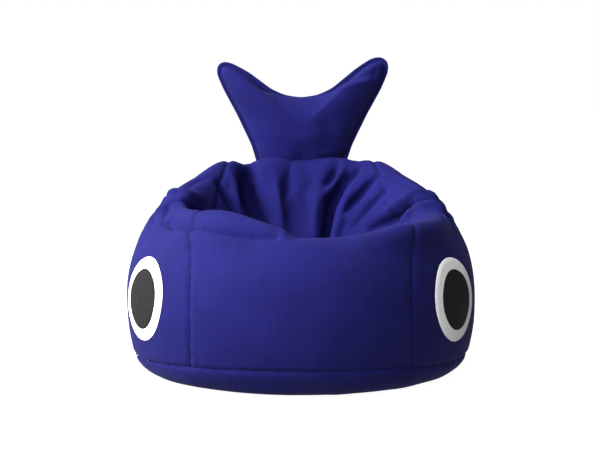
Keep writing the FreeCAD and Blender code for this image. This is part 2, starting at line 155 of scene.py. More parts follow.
# each lamp: its place, how wide it is in metres, and its watts
LAMPS = {
    "key": ((-3.4, -1.5, 2.4), 1.6, 300),
    "key from the front": ((-2.6, -2.8, 2.0), 1.6, 165),
    "key from above": ((-2.4, -0.6, 3.4), 1.6, 125),
    "side": ((-3.4, 1.0, 1.7), 1.2, 110),
    "front": ((-0.6, -4.2, 1.8), 2.0, 115),
    "top": ((-0.6, 0.4, 3.4), 1.8, 65),
}
for name, (place, across, watts) in LAMPS.items():
    lamp = bpy.data.lights.new(name, "AREA")
    lamp.shape = "DISK"
    lamp.size = across
    lamp.energy = watts
    look_from(bpy.data.objects.new(name, lamp), place, (0, 0, 0.3))

world = bpy.data.worlds.new("studio")
world.use_nodes = True
tree = world.node_tree
tree.nodes.clear()
ray = node(tree, "ShaderNodeLightPath")
room = node(tree, "ShaderNodeBackground", Color=linear("#FFFFFF"), Strength=0.21)
sweep = node(tree, "ShaderNodeBackground", Color=linear("#FFFFFF"), Strength=1.0)
seen = ray.outputs["Is Camera Ray"]
sky = node(tree, "ShaderNodeMixShader", _0=seen, _1=room.outputs[0], _2=sweep.outputs[0])
node(tree, "ShaderNodeOutputWorld", Surface=sky.outputs[0])
bpy.context.scene.world = world


# ---------------------------------------------------------------- cover cloth
# Brushed woven polyester upholstery cloth, dyed cobalt blue. The nap makes it matte, pale at
# grazing angles, and slightly streaked along the warp, which runs up the walls.
WARP_PITCH, WEFT_PITCH = 0.0014, 0.0018
# a wave texture of scale 1 has a band every 2 pi / 20
WAVE_UNIT = 2 * math.pi / 20


def cover_cloth():
    material, tree = blank_material("cobalt brushed polyester upholstery cloth")
    weave = node(tree, "ShaderNodeUVMap", {"uv_map": "weave"})
    # threads about twice their real spacing apart, so that they show
    threads = [
        node(
            tree,
            "ShaderNodeTexWave",
            {"wave_type": "BANDS", "bands_direction": way},
            Vector=weave.outputs[0],
            Scale=scale,
            Distortion=1.2,
            Detail=2.0,
            Detail_Scale=3.0,
        )
        for way, scale in (("X", WAVE_UNIT / WARP_PITCH), ("Y", WAVE_UNIT / WEFT_PITCH))
    ]
    warp, weft = (thread.outputs["Fac"] for thread in threads)
    grid = node(tree, "ShaderNodeMath", {"operation": "MULTIPLY"}, _0=warp, _1=weft)
    # streaks of nap: 3 mm wide and 60 mm long
    stretch = node(tree, "ShaderNodeMapping", Vector=weave.outputs[0], Scale=(1, 0.05, 1))
    grain = stretch.outputs[0]
    streak = node(tree, "ShaderNodeTexNoise", Vector=grain, Scale=330, Detail=3.0, Roughness=0.6)
    fuzz = node(tree, "ShaderNodeTexNoise", Vector=weave.outputs[0], Scale=900, Detail=2.0)
    shade = node(tree, "ShaderNodeTexNoise", Vector=weave.outputs[0], Scale=9, Detail=3.0)
    mixed = weighted(tree, streak.outputs["Fac"], 0.65)
    mixed = weighted(tree, shade.outputs["Fac"], 0.35, mixed.outputs[0])
    colour = node(tree, "ShaderNodeValToRGB", Fac=mixed.outputs[0])
    colour.color_ramp.elements[0].position = 0.36
    colour.color_ramp.elements[0].color = linear("#090940")
    colour.color_ramp.elements[1].position = 0.66
    colour.color_ramp.elements[1].color = linear("#0E0E51")
    high = weighted(tree, fuzz.outputs["Fac"], 0.5, grid.outputs[0])
    high = weighted(tree, streak.outputs["Fac"], 0.4, high.outputs[0])
    bump = node(tree, "ShaderNodeBump", Strength=0.35, Distance=0.0006, Height=high.outputs[0])
    cloth = node(
        tree,
        "ShaderNodeBsdfPrincipled",
        Base_Color=colour.outputs[0],
        Roughness=0.88,
        Specular_IOR_Level=0.12,
        Sheen_Weight=0.03,
        Sheen_Roughness=0.45,
        Sheen_Tint=linear("#8F8CFF"),
        Normal=bump.outputs[0],
    )
    node(tree, "ShaderNodeOutputMaterial", Surface=cloth.outputs[0])
    return material


COVER_CLOTH = cover_cloth()


# ---------------------------------------------------------------- the stuffed bag's form
# A bag of cloth panels filled with loose beads. Full, it is a squat round; sat in, its top sinks
# to a hollow and the back stands up. This section makes that form before any seam or fold.
HALF_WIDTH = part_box("right_eye_panel")[1].x
HALF_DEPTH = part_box("back_panel")[1].y
FRONT_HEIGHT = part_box("front_panel")[1].z * 0.997
BACK_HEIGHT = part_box("rear_left_panel")[1].z * 0.997
SIDE_HEIGHT = 0.392
SEAT_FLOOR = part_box("seat_panel")[0].z
TAIL_DIP = 0.044
TAIL_DIP_ANGLE = math.radians(26)


def bag_height(angle):
    """Height of the crest at an angle from straight ahead."""
    share = (1 - math.cos(angle)) / 2
    rise = share * share * (3 - 2 * share)
    height = FRONT_HEIGHT + (BACK_HEIGHT - FRONT_HEIGHT) * rise
    height += (SIDE_HEIGHT - (FRONT_HEIGHT + BACK_HEIGHT) / 2) * math.sin(angle) ** 4
    from_back = math.pi - abs(angle)
    if from_back < TAIL_DIP_ANGLE:
        height -= TAIL_DIP * math.cos(math.pi / 2 * from_back / TAIL_DIP_ANGLE) ** 2
    return height


def profile(angle):
    """Control points from the middle of the foot, over the crest, to the middle of the seat."""
    crest = bag_height(angle)
    hollow = crest - SEAT_FLOOR
    return [
        (0, 0),
        (0.320, 0),
        (0.640, 0),
        (0.805, 0),
        (0.940, 0.013),
        (0.988, 0.085),
        (1.010, 0.50 * crest),
        (0.965, 0.78 * crest),
        (0.860, 0.950 * crest),
        (0.755, 1.020 * crest),
        (0.645, 0.980 * crest),
        (0.575, SEAT_FLOOR + 0.55 * hollow),
        (0.460, SEAT_FLOOR + 0.10 * hollow),
        (0.300, SEAT_FLOOR),
        (0.140, SEAT_FLOOR),
        (0, SEAT_FLOOR),
    ]


def cubic_basis(count, samples):
    """How much each of count control points weighs along a clamped cubic spline."""
    knots = np.concatenate(([0] * 3, np.arange(count - 2), [count - 3] * 3)).astype(float)
    at = np.linspace(0, count - 3 - 1e-9, samples)
    weights = [((knots[k] <= at) & (at < knots[k + 1])).astype(float) for k in range(count + 3)]
    for degree in (1, 2, 3):
        raised = []
        for k in range(len(weights) - 1):
            total = np.zeros(samples)
            if knots[k + degree] > knots[k]:
                total += (at - knots[k]) / (knots[k + degree] - knots[k]) * weights[k]
            end, start = knots[k + degree + 1], knots[k + 1]
            if end > start:
                total += (end - at) / (end - start) * weights[k + 1]
            raised.append(total)
        weights = raised
    return np.array(weights).T


ANGLES = np.radians(np.arange(-180, 181, 2.0))
STEPS = 240
BASIS = cubic_basis(len(profile(0)), 4 * STEPS)


def bag_table():
    """Points of the form by angle and by share of the way from the foot to the seat's middle."""
    table = []
    for angle in ANGLES:
        line = BASIS @ np.array(profile(angle))
        run = np.hypot(np.diff(line[:, 0] * HALF_WIDTH), np.diff(line[:, 1]))
        run = np.concatenate(([0], np.cumsum(run)))
        even = np.linspace(0, run[-1], STEPS + 1)
        share, height = (np.interp(even, run, line[:, k]) for k in (0, 1))
        x = share * HALF_WIDTH * math.sin(angle)
        y = -share * HALF_DEPTH * math.cos(angle)
        table.append(np.stack((x, y, height), axis=1))
    return np.array(table)


TABLE = bag_table()


def on_bag(angle, way):
    """Points of the form at angles in radians and shares of the way from foot to seat."""
    col = np.clip((np.asarray(angle) + math.pi) / math.radians(2), 0, len(ANGLES) - 1.001)
    row = np.clip(np.asarray(way) * STEPS, 0, STEPS - 0.001)
    i, j = col.astype(int), row.astype(int)
    u, v = (col - i)[..., None], (row - j)[..., None]
    low = TABLE[i, j] * (1 - u) + TABLE[i + 1, j] * u
    high = TABLE[i, j + 1] * (1 - u) + TABLE[i + 1, j + 1] * u
    return low * (1 - v) + high * v


def round_grid(cells):
    """A cube of even squares, blown up to a ball, for a closed cloth with no crowded poles."""
    bm = bmesh.new()
    bmesh.ops.create_cube(bm, size=2)
    bmesh.ops.subdivide_edges(bm, edges=bm.edges, cuts=cells - 1, use_grid_fill=True)
    for vert in bm.verts:
        vert.co = Vector(math.tan(c * math.pi / 4) for c in vert.co).normalized()
    return bm


def coordinates(mesh):
    flat = np.empty(len(mesh.vertices) * 3)
    mesh.vertices.foreach_get("co", flat)
    return flat.reshape(-1, 3)


def normals(mesh):
    flat = np.empty(len(mesh.vertices) * 3)
    mesh.vertices.foreach_get("normal", flat)
    return flat.reshape(-1, 3)


def place_vertices(mesh, points):
    mesh.vertices.foreach_set("co", np.ascontiguousarray(points).ravel())
    mesh.update()


CELLS = 72
bag = from_bmesh("bag_cover", round_grid(CELLS))
ball = coordinates(bag.data)
BAG_ANGLE = np.arctan2(ball[:, 0], -ball[:, 1])
BAG_WAY = np.arccos(np.clip(-ball[:, 2], -1, 1)) / math.pi
plain = on_bag(BAG_ANGLE, BAG_WAY)
place_vertices(bag.data, plain)
if sum(face.normal.z > 0 for face in bag.data.polygons if face.center.z < 0.002) > 10:
    bag.data.flip_normals()
plain_normals = normals(bag.data)


# ---------------------------------------------------------------- folds
# Loose beads settle and the sitter leaves a dent, so the cloth has slack to lose. It gathers in
# folds that run down the seat back from the tail, along the rim and out from the side seams. Each
# fold here is a stroke: (degrees from the front, share of the way from the foot) at its points,
# then its depth and its width in metres. A negative depth is a ridge.
FOLDS = [
    # down the seat back, from the left shoulder to the right
    ([(-154, 0.664), (-151, 0.69), (-151, 0.72), (-154, 0.77), (-156, 0.83)], 0.050, 0.036),
    ([(-131, 0.68), (-134, 0.72), (-139, 0.76)], 0.018, 0.014),
    ([(-172, 0.662), (-173, 0.69), (-170, 0.72)], 0.007, 0.020),
    ([(160, 0.664), (166, 0.70)], 0.018, 0.014),
    ([(154, 0.685), (161, 0.735), (163, 0.80), (165, 0.85)], 0.042, 0.022),
    ([(148, 0.665), (154, 0.70)], 0.014, 0.012),
    ([(137, 0.675), (145, 0.722), (152, 0.76)], 0.017, 0.014),
    ([(127, 0.690), (136, 0.735), (144, 0.78)], 0.010, 0.012),
    # ridges between the deepest of them
    ([(-165, 0.68), (-166, 0.74), (-167, 0.80)], -0.010, 0.020),
    ([(-141, 0.67), (-140, 0.72), (-142, 0.76)], -0.009, 0.014),
    ([(170, 0.71), (171, 0.78)], -0.008, 0.020),
    ([(150, 0.72), (154, 0.78), (156, 0.83)], -0.010, 0.022),
    # where the rim breaks at the side seams
    ([(97, 0.610), (98, 0.645), (99, 0.680), (112, 0.726), (132, 0.772)], 0.040, 0.014),
    ([(103, 0.612), (105, 0.650), (108, 0.685), (121, 0.725)], -0.012, 0.016),
    ([(91, 0.610), (91, 0.645), (92, 0.675), (104, 0.722)], -0.014, 0.018),
    ([(-103, 0.608), (-99, 0.640), (-98, 0.672), (-105, 0.700), (-114, 0.722)], 0.030, 0.014),
    ([(-110, 0.610), (-107, 0.645), (-107, 0.672), (-113, 0.690)], -0.010, 0.015),
    ([(-92, 0.610), (-90, 0.645), (-89, 0.675), (-97, 0.705)], -0.012, 0.016),
    # the seat's front edge bunches up behind the rim on the left
    (
        [(-86, 0.678), (-68, 0.682), (-50, 0.684), (-36, 0.683), (-22, 0.680), (-8, 0.674)],
        -0.042,
        0.026,
    ),
    ([(-76, 0.652), (-58, 0.656), (-42, 0.660), (-26, 0.660), (-10, 0.658)], 0.026, 0.011),
    # the crest is pulled up where the tail is sewn into it, and at both shoulders
    ([(160, 0.654), (170, 0.657), (180, 0.658), (-170, 0.657), (-160, 0.654)], -0.036, 0.034),
    ([(-132, 0.642), (-142, 0.644), (-152, 0.648)], -0.010, 0.026),
    ([(152, 0.648), (142, 0.644), (132, 0.642)], -0.010, 0.026),
    # the front rim sags in its middle and stands up towards the side seams
    ([(26, 0.640), (42, 0.645), (60, 0.640), (80, 0.640)], -0.022, 0.050),
    ([(-26, 0.640), (-42, 0.645), (-60, 0.640)], -0.012, 0.045),
    # short pulls beside the side seams
    ([(72, 0.625), (84, 0.645), (92, 0.675)], 0.006, 0.009),
    ([(76, 0.600), (88, 0.618), (96, 0.640)], 0.006, 0.009),
    ([(80, 0.570), (90, 0.585), (97, 0.600)], 0.004, 0.009),
    ([(104, 0.650), (118, 0.664), (130, 0.672)], 0.007, 0.011),
    ([(101, 0.622), (116, 0.636), (128, 0.645)], 0.006, 0.011),
    ([(100, 0.590), (112, 0.600)], 0.004, 0.010),
    ([(-74, 0.640), (-86, 0.650), (-96, 0.668)], 0.006, 0.009),
    ([(-78, 0.612), (-90, 0.618), (-99, 0.630)], 0.006, 0.009),
    ([(-101, 0.610), (-114, 0.625), (-126, 0.632)], 0.005, 0.011),
    ([(-103, 0.650), (-116, 0.660), (-128, 0.664)], 0.006, 0.011),
    # slack low down on the walls
    ([(-36, 0.33), (-15, 0.345), (8, 0.338)], 0.004, 0.030),
    ([(20, 0.40), (34, 0.38)], 0.003, 0.028),
    ([(150, 0.50), (165, 0.44), (178, 0.42)], 0.005, 0.030),
    ([(-172, 0.55), (-158, 0.48), (-148, 0.36)], 0.006, 0.032),
    ([(118, 0.52), (126, 0.42), (132, 0.34)], 0.005, 0.030),
    ([(-120, 0.50), (-128, 0.40)], 0.005, 0.030),
]


def stroke_points(corners):
    """A stroke's line over the bag, as close points with their share of the stroke's length."""
    degrees, ways = (np.array(column, float) for column in zip(*corners))
    degrees = np.degrees(np.unwrap(np.radians(degrees)))
    at = np.linspace(0, len(corners) - 1, 12 * len(corners))
    degrees = np.interp(at, range(len(corners)), degrees)
    ways = np.interp(at, range(len(corners)), ways)
    angle = (np.radians(degrees) + math.pi) % (2 * math.pi) - math.pi
    return on_bag(angle, ways), at / at[-1]


def fold_shift(points, corners, depth, width):
    """How far a fold sinks each point: deepest on its line, fading to its ends."""
    line, along = stroke_points(corners)
    away = np.full(len(points), 1e9)
    share = np.zeros(len(points))
    for spot, at in zip(line, along):
        gap = ((points - spot) ** 2).sum(axis=1)
        share = np.where(gap < away, at, share)
        away = np.minimum(away, gap)
    reach = away / width**2
    fade = np.sin(np.pi * (0.12 + 0.76 * share))
    return depth * fade * (1 - 0.35 * reach) * np.exp(-reach)


shift = sum(fold_shift(plain, *fold) for fold in FOLDS)
folded = plain - plain_normals * shift[:, None]
place_vertices(bag.data, folded)


# ---------------------------------------------------------------- where the cover is sewn
# Nine panels make the cover: six up the wall, one over the seat and two underneath. Their seams
# meet at the six corners of the seat panel. All of it is worked out on the plain form.
SEAM_ANGLES = [math.radians(a) for a in (58, 96, 146)]
SEAT_SHARES = (0.70, 0.57, 0.77)
SEAT_FRONT_SHARE = 0.62
BASE_SEAM_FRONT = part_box("front_panel")[0].z
BASE_SEAM_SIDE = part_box("rear_left_panel")[0].z


def plan(angle, share):
    return np.array((share * HALF_WIDTH * math.sin(angle), -share * HALF_DEPTH * math.cos(angle)))


def bowed(start, reach, count):
    """Points between two corners that mirror each other, on the arc that passes (0, reach)."""
    half, sagitta = abs(start[0]), reach - start[1]
    radius = (half**2 + sagitta**2) / (2 * sagitta)
    swing = math.asin(half / abs(radius)) * np.linspace(1, -1, count + 2)[1:-1]
    x = math.copysign(abs(radius), start[0]) * np.sin(swing)
    return [np.array(spot) for spot in zip(x, reach - radius + radius * np.cos(swing))]


CORNERS = [plan(side * a, share) for side in (1, -1) for a, share in zip(SEAM_ANGLES, SEAT_SHARES)]
FRONT_ARC = bowed(CORNERS[3], -SEAT_FRONT_SHARE * HALF_DEPTH, 9)
REAR_ARC = bowed(CORNERS[2], SEAT_SHARES[2] * HALF_DEPTH, 5)
# round the seat panel from the right front corner, by the back, to the front again
RIM = [*CORNERS[:3], *REAR_ARC, *CORNERS[:2:-1], *FRONT_ARC]
RIM_SIDES = list(zip(RIM, [*RIM[1:], RIM[0]]))
# the front seams run down the wall side by side, the others straight away from the middle
AHEAD = np.array((0, -1.0))
SEAM_WAYS = [
    AHEAD if corner is CORNERS[0] or corner is CORNERS[3] else corner / np.linalg.norm(corner)
    for corner in CORNERS
]
# how the base seam climbs: at these shares of the half depth ahead, these shares of its whole rise
BASE_SEAM_AHEAD = (0.1, 0.3, 0.45, 0.6, 0.76, 0.9, 0.98)
BASE_SEAM_RISE = (0, 0.04, 0.12, 0.36, 0.67, 0.9, 1.0)
# the rim's seams are looked for only this far above the seat's floor
ABOVE_SEAT = 0.03


def base_seam_height(points):
    """Height of the seam between the walls and the base, which rises towards the front."""
    ahead = -points[:, 1] / HALF_DEPTH
    rise = np.interp(ahead, BASE_SEAM_AHEAD, BASE_SEAM_RISE)
    return BASE_SEAM_SIDE + (BASE_SEAM_FRONT - BASE_SEAM_SIDE) * rise


def from_segment(points, start, end):
    """Distance in plan from a straight seam between two corners."""
    along = end - start
    share = np.clip(((points[:, :2] - start) @ along) / (along @ along), 0, 1)
    return np.linalg.norm(points[:, :2] - start - share[:, None] * along, axis=1)


def off_seam(points, corner, way):
    """How far points are past a corner along its seam, and how far beside it."""
    x, y = points[..., 0] - corner[0], points[..., 1] - corner[1]
    return x * way[0] + y * way[1], np.abs(x * way[1] - y * way[0])


def seam_gap(points):
    """Distance of points on the plain form from the nearest seam."""
    gaps = [from_segment(points, start, end) for start, end in RIM_SIDES]
    rim = np.where(points[:, 2] > SEAT_FLOOR + ABOVE_SEAT, np.min(gaps, axis=0), 1)
    walls = []
    for corner, way in zip(CORNERS, SEAM_WAYS):
        out, across = off_seam(points, corner, way)
        walls.append(np.where(out > 0, across, 1))
    above = points[:, 2] > base_seam_height(points)
    wall = np.where(above, np.min(walls, axis=0), 1)
    radius = np.hypot(points[:, 0] / HALF_WIDTH, points[:, 1] / HALF_DEPTH)
    low = np.where(radius > 0.8, np.abs(points[:, 2] - base_seam_height(points)), 1)
    under = np.where(points[:, 2] < 0.05, np.abs(points[:, 1]), 1)
    return np.min((rim, wall, low, under), axis=0)


# ---------------------------------------------------------------- the cloth settles
# The panels are cut a little fuller than the beads fill, so between its seams the cloth buckles
# into soft wrinkles. The seams hold, and nothing may move further than the cap.
def settle(thing, hold, slack, growth, cap, pressure, bending, frames=20):
    """Lets a closed cloth find its own wrinkles and keeps the result in its mesh."""
    before = coordinates(thing.data)
    for name, weights in (("hold", hold), ("slack", slack)):
        group = thing.vertex_groups.new(name=name)
        for step in range(0, 101, 4):
            chosen = np.nonzero(np.rint(weights * 25).astype(int) * 4 == step)[0]
            group.add(chosen.tolist(), step / 100, "REPLACE")
    cloth = thing.modifiers.new("cloth", "CLOTH")
    rules = cloth.settings
    rules.quality = 6
    rules.mass = 0.3
    rules.tension_stiffness = 30
    rules.compression_stiffness = 30
    rules.shear_stiffness = 12
    rules.bending_stiffness = bending
    rules.air_damping = 2
    rules.vertex_group_mass = "hold"
    rules.pin_stiffness = 1.0
    rules.vertex_group_shrink = "slack"
    rules.shrink_min = 0.0
    rules.shrink_max = -growth
    rules.use_pressure = True
    rules.uniform_pressure_force = pressure
    rules.effector_weights.gravity = 0
    cloth.collision_settings.use_collision = False
    cloth.point_cache.frame_start = 1
    cloth.point_cache.frame_end = frames
    for step in range(1, frames + 1):
        bpy.context.scene.frame_set(step)
    shape = thing.evaluated_get(bpy.context.evaluated_depsgraph_get())
    move = coordinates(shape.data) - before
    length = np.linalg.norm(move, axis=1, keepdims=True)
    thing.modifiers.clear()
    thing.vertex_groups.clear()
    bpy.context.scene.frame_set(1)
    place_vertices(thing.data, before + move * np.minimum(1, cap / np.maximum(length, 1e-9)))


# the crest and the cloth beside the seams have the most slack; the seams and the foot are held
gap = seam_gap(plain)
crest = np.clip((plain[:, 2] - 0.26) / 0.12, 0, 1)
hold = 0.08 + 0.92 * np.exp(-((gap / 0.010) ** 2))
hold[plain[:, 2] < 0.004] = 1
slack = np.clip(0.2 + 0.8 * crest + 0.4 * np.exp(-((gap / 0.04) ** 2)), 0, 1)
settle(bag, hold, slack, growth=0.12, cap=0.020, pressure=2.0, bending=0.3)


# ---------------------------------------------------------------- cover panels
# The settled cloth is cut along its seams into its nine panels. Each turns in at its edges, where
# the allowance is stitched to its neighbour's behind it, and puckers a little along the thread.
CLOTH_THICKNESS = 0.0018
SEAM_DEPTH, SEAM_WIDTH = 0.0042, 0.0050
PUCKER, PUCKER_REACH, PUCKER_LENGTH = 0.0014, 0.020, 0.013
LUMP, LUMP_LENGTH = 0.0022, 0.085
CREASE_DEPTH, CREASE_WIDTH = 0.45, 0.60
ZIP_HALF = (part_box("zip_tape_front")[1].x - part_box("zip_tape_front")[0].x) / 2 + 0.004
SLOT_HALF = 0.009
# a seam's cut goes through the faces whose middles are this close to it
CUT_REACH = 0.012


def refined(thing):
    """The same object with every face of its mesh divided in four and smoothed."""
    smoother = thing.modifiers.new("smooth", "SUBSURF")
    smoother.levels = smoother.render_levels = 1
    graph = bpy.context.evaluated_depsgraph_get()
    mesh = bpy.data.meshes.new_from_object(thing.evaluated_get(graph))
    thing.modifiers.clear()
    old = thing.data
    thing.data = mesh
    bpy.data.meshes.remove(old)


def add_layer(mesh, name, kind, values):
    """Keeps one value or vector for each vertex in the mesh."""
    layer = mesh.attributes.new(name, kind, "POINT")
    key = "vector" if kind == "FLOAT_VECTOR" else "value"
    layer.data.foreach_set(key, np.ascontiguousarray(values).ravel())


def cut(bm, faces, point, normal):
    """Cuts these faces where they cross a plane."""
    edges = {edge for face in faces for edge in face.edges}
    verts = {vert for face in faces for vert in face.verts}
    geometry = [*verts, *edges, *faces]
    bmesh.ops.bisect_plane(bm, geom=geometry, dist=2e-5, plane_co=point, plane_no=normal)


def near_segment(face, start, end, reach):
    """Whether a face lies close to a straight seam, seen from above."""
    middle = face.calc_center_median()
    point = np.array((middle.x, middle.y))
    along = end - start
    share = ((point - start) @ along) / (along @ along)
    spare = reach / np.linalg.norm(along)
    if not -spare < share < 1 + spare:
        return False
    away = point - start
    return abs(along[0] * away[1] - along[1] * away[0]) / np.linalg.norm(along) < reach


def faces_where(bm, wanted):
    """The faces of a mesh whose middles are wanted."""
    return [face for face in bm.faces if wanted(face.calc_center_median())]


def by_slot(middle):
    """Whether a point is near the slot that the zip lies in."""
    return middle.z < 0.06 and abs(middle.y) < 0.03


def cut_seams(bm):
    """Cuts the plain form along every seam."""
    for start, end in RIM_SIDES:
        upper = faces_where(bm, lambda middle: middle.z > SEAT_FLOOR + ABOVE_SEAT)
        faces = [face for face in upper if near_segment(face, start, end, CUT_REACH)]
        along = end - start
        cut(bm, faces, (*start, 0), (-along[1], along[0], 0))
    for corner, way in zip(CORNERS, SEAM_WAYS):
        faces = []
        for face in bm.faces:
            middle = face.calc_center_median()
            out, across = off_seam(np.array(middle), corner, way)
            if out > -0.008 and across < CUT_REACH and middle.z > BASE_SEAM_SIDE - 0.01:
                faces.append(face)
        cut(bm, faces, (*corner, 0), (-way[1], way[0], 0))
    marks = np.array((-1.1, *BASE_SEAM_AHEAD, 1.1)) * -HALF_DEPTH
    heights = base_seam_height(np.array([(0, y, 0) for y in marks]))
    for k in range(len(marks) - 1):
        low, high = sorted((marks[k], marks[k + 1]))
        faces = faces_where(
            bm,
            lambda middle: low - 0.006 < middle.y < high + 0.006
            and BASE_SEAM_SIDE - 0.02 < middle.z < BASE_SEAM_FRONT + 0.02,
        )
        slope = (heights[k + 1] - heights[k]) / (marks[k + 1] - marks[k])
        cut(bm, faces, (0, marks[k], heights[k]), (0, -slope, 1))
    for y in (-SLOT_HALF, 0, SLOT_HALF):
        cut(bm, faces_where(bm, by_slot), (0, y, 0), (0, 1, 0))
    for x in (-ZIP_HALF, ZIP_HALF):
        cut(bm, faces_where(bm, by_slot), (x, 0, 0), (1, 0, 0))


def inside_rim(point):
    """Whether a point, seen from above, is on the seat panel."""
    signs = []
    for start, end in RIM_SIDES:
        along, away = end - start, point - start
        signs.append(along[0] * away[1] - along[1] * away[0])
    return all(sign > 0 for sign in signs) or all(sign < 0 for sign in signs)


WALL_NAMES = (
    "front_panel",
    "right_eye_panel",
    "rear_right_panel",
    "back_panel",
    "rear_left_panel",
    "left_eye_panel",
)


def panel_of(middle):
    """The name of the panel that a point of the plain form is on."""
    spot = np.array((middle.x, middle.y))
    if middle.z > SEAT_FLOOR - 0.02 and np.linalg.norm(spot) < 0.40 and inside_rim(spot):
        return "seat_panel"
    if middle.z < base_seam_height(np.array([middle]))[0]:
        if abs(middle.x) < ZIP_HALF and abs(middle.y) < SLOT_HALF and middle.z < 0.05:
            return "slot"
        return "base_front_panel" if middle.y < 0 else "base_rear_panel"
    turn = math.atan2(middle.x, -middle.y) % (2 * math.pi)
    if middle.y < 0 and abs(middle.x) < CORNERS[0][0]:
        return WALL_NAMES[0]
    edges = [*SEAM_ANGLES[1:], *(2 * math.pi - a for a in SEAM_ANGLES[:0:-1]), 2 * math.pi]
    for name, edge in zip(WALL_NAMES[1:], edges):
        if turn < edge:
            return name
    return WALL_NAMES[-1]


add_layer(bag.data, "plain", "FLOAT_VECTOR", plain)
add_layer(bag.data, "way", "FLOAT", BAG_WAY)
refined(bag)
bm = bmesh.new()
bm.from_mesh(bag.data)
plain_layer = bm.verts.layers.float_vector["plain"]
made_layer = bm.verts.layers.float_vector.new("made")
for vert in bm.verts:
    vert[made_layer] = vert.co
    vert.co = vert[plain_layer]
cut_seams(bm)
names = sorted({*WALL_NAMES, "seat_panel", "base_front_panel", "base_rear_panel", "slot"})
owner = bm.faces.layers.int.new("owner")
for face in bm.faces:
    face[owner] = names.index(panel_of(face.calc_center_median()))
for vert in bm.verts:
    vert[plain_layer] = vert.co
    vert.co = vert[made_layer]
bm.normal_update()
bm.to_mesh(bag.data)
bm.free()

refined_plain = np.empty(len(bag.data.vertices) * 3)
bag.data.attributes["plain"].data.foreach_get("vector", refined_plain)
refined_plain = refined_plain.reshape(-1, 3)
gap = seam_gap(refined_plain)
points, bag_ways_out = coordinates(bag.data), normals(bag.data)


def bumps(spots, length, seed):
    """Smooth noise from -1 to 1 at each point, with bumps about so long."""
    return np.array([noise.noise(Vector(spot) / length + Vector((seed, 0, 0))) for spot in spots])


near = gap < 3 * PUCKER_REACH
rise = LUMP * bumps(refined_plain, LUMP_LENGTH, 3)
# the settling rounds the folds off, so their creases are drawn in again, narrower
for corners, depth, width in FOLDS:
    rise -= fold_shift(refined_plain, corners, CREASE_DEPTH * depth, CREASE_WIDTH * width)
rise -= SEAM_DEPTH * np.exp(-((gap / SEAM_WIDTH) ** 2))
pucker = PUCKER * bumps(refined_plain, PUCKER_LENGTH, 7) * np.exp(-((gap / PUCKER_REACH) ** 2))
rise[near] += pucker[near]
rise[refined_plain[:, 2] < 0.006] *= 0.1
place_vertices(bag.data, points + bag_ways_out * rise[:, None])


def thicken(thing, thickness, kind="cloth"):
    """Gives a sheet its thickness, inwards from the face it is drawn on."""
    depth = thing.modifiers.new(kind + " thickness", "SOLIDIFY")
    depth.thickness = thickness
    depth.offset = -1


def lay_weave(bm, spread):
    """Lays the cloth's own coordinates over a mesh: spread gives them for each of its vertices."""
    weave = bm.loops.layers.uv.new("weave")
    for face in bm.faces:
        for loop in face.loops:
            loop[weave].uv = spread(loop.vert)


# degrees from straight ahead to the middle of each panel of the wall
PANEL_TURNS = {
    "right_eye_panel": 70,
    "rear_right_panel": 120,
    "back_panel": 180,
    "rear_left_panel": -120,
    "left_eye_panel": -70,
}
# how far the cloth runs from foot to seat, and round the wall for each radian, in metres
RUN_UP, RUN_ROUND = 1.25, 0.43


def split_panel(name):
    """Takes one panel out of the settled cover as an object of its own, with the cloth's run."""
    bm = bmesh.new()
    bm.from_mesh(bag.data)
    owner = bm.faces.layers.int["owner"]
    plain_layer = bm.verts.layers.float_vector["plain"]
    way_layer = bm.verts.layers.float["way"]
    others = [face for face in bm.faces if names[face[owner]] != name]
    bmesh.ops.delete(bm, geom=others, context="FACES")
    centre = math.radians(PANEL_TURNS.get(name, 0))

    def spread(vert):
        turn = math.atan2(vert[plain_layer].x, -vert[plain_layer].y)
        way = vert[way_layer]
        if name == "seat_panel" or name.startswith("base"):
            run = (way if name.startswith("base") else 1 - way) * RUN_UP
            return (run * math.sin(turn), run * math.cos(turn))
        turn = (turn - centre + math.pi) % (2 * math.pi) - math.pi
        return (turn * RUN_ROUND, way * RUN_UP)

    lay_weave(bm, spread)
    thing = from_bmesh("cover_" + name, bm)
    dress(thing, COVER_CLOTH)
    thicken(thing, CLOTH_THICKNESS)
    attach(thing, "bag")
    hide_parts(name)
    return thing


covers = {name: split_panel(name) for name in names if name != "slot"}


# ---------------------------------------------------------------- eyes
# Each eye is two rounds of pressed felt, die cut and sewn flat on its panel: a white one, and a
# charcoal one on top. Felt is too stiff to follow small wrinkles, so it bridges them.
EYE_ANGLES = {"left": math.radians(61.2), "right": math.radians(59.0)}
EYE_HEIGHT = 0.200
WHITE_RADIUS, PUPIL_RADIUS = 0.097, 0.070
FELT_THICKNESS = 0.0011
FELT_SPOKES = 120
# how many times the felt's form is smoothed, and how much of the smooth form it takes
FELT_STIFFNESS, BRIDGING = 30, 0.7
# how far the rounds' faces stand off the cloth
WHITE_LIFT, PUPIL_LIFT = 0.0019, 0.0032
UP = Vector((0, 0, 1))
# rings from the middle to the edge, closer together where the felt is pressed by its stitches
FELT_RINGS = [*np.linspace(0.08, 0.94, 18).tolist(), 0.955, 0.97, 0.985, 0.995, 1.0]


